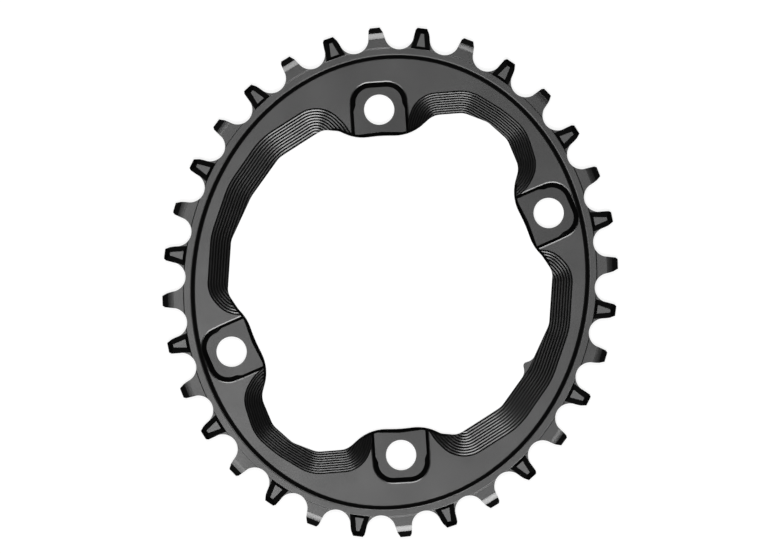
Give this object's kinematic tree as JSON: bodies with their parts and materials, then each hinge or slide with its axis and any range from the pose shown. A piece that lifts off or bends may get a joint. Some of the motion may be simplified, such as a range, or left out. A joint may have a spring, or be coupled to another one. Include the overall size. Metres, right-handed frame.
{
  "type": "bicycle chainring",
  "caption": "Oval narrow-wide bicycle chainring milled from one plate, with stepped slopes round its opening, pocketed bolt tabs and an index nub.",
  "frame": {"origin": "on the axis of the bolt circle, in the plane of the flat back face", "axes": "+Z along the bolt circle axis out of the front face; +Y towards the crank arm, through the index nub; +X along the wide spacing of the bolt holes"},
  "size_m": [0.1396, 0.1286, 0.0042],
  "materials": {
    "black_anodised": "satin black anodised over fine milling marks"
  },
  "bodies": {
    "root": {"chainring": "black_anodised"}
  },
  "joints": []
}
